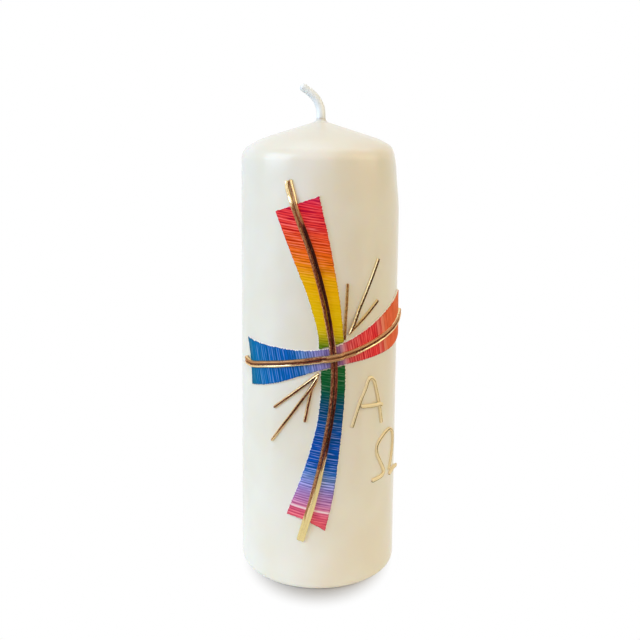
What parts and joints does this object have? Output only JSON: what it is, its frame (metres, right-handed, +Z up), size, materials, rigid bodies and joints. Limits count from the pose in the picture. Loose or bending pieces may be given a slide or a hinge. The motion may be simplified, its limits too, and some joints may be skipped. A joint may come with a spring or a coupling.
{
  "type": "cross motif candle",
  "caption": "Ivory pillar candle with a braided wick and, on its front, a rainbow wax cross with gold strips, rays and alpha and omega letters.",
  "frame": {"origin": "middle of the flat base", "axes": "+Z up along the wick, -Y towards the decorated front, +X to the right seen from the front"},
  "size_m": [0.0716, 0.0729, 0.2156],
  "materials": {
    "core_wax": "plain white candle wax, matte",
    "ivory_wax": "ivory candle wax, smooth with a soft gloss, slightly translucent",
    "wick_cotton": "white braided cotton, waxed",
    "arm_sheet": "thin wax sheet, rainbow coloured from teal and blue on the left to crimson and orange on the right",
    "warm_sheet": "thin wax sheet, rainbow coloured from crimson at the top through orange and yellow to olive green",
    "cool_sheet": "thin wax sheet, rainbow coloured from dark green at the top through blue and violet to crimson",
    "gold_strip": "gold-faced wax strip, half round, bright metallic gold",
    "pale_gold_strip": "gold-faced wax strip, half round, pale satin gold"
  },
  "bodies": {
    "root": {"wax_core": "core_wax", "dipped_coat": "ivory_wax", "wick": "wick_cotton", "cross_arm": "arm_sheet", "cross_upright_upper": "warm_sheet", "cross_upright_lower": "cool_sheet", "gold_upright_left": "gold_strip", "gold_upright_right": "gold_strip", "gold_arm_upper": "gold_strip", "gold_arm_lower": "gold_strip", "ray_upper_1": "gold_strip", "ray_upper_2": "gold_strip", "ray_upper_3": "gold_strip", "ray_lower_1": "gold_strip", "ray_lower_2": "gold_strip", "ray_lower_3": "gold_strip", "alpha_legs": "pale_gold_strip", "alpha_bar": "pale_gold_strip", "omega_bow": "pale_gold_strip", "omega_foot": "pale_gold_strip"}
  },
  "joints": []
}
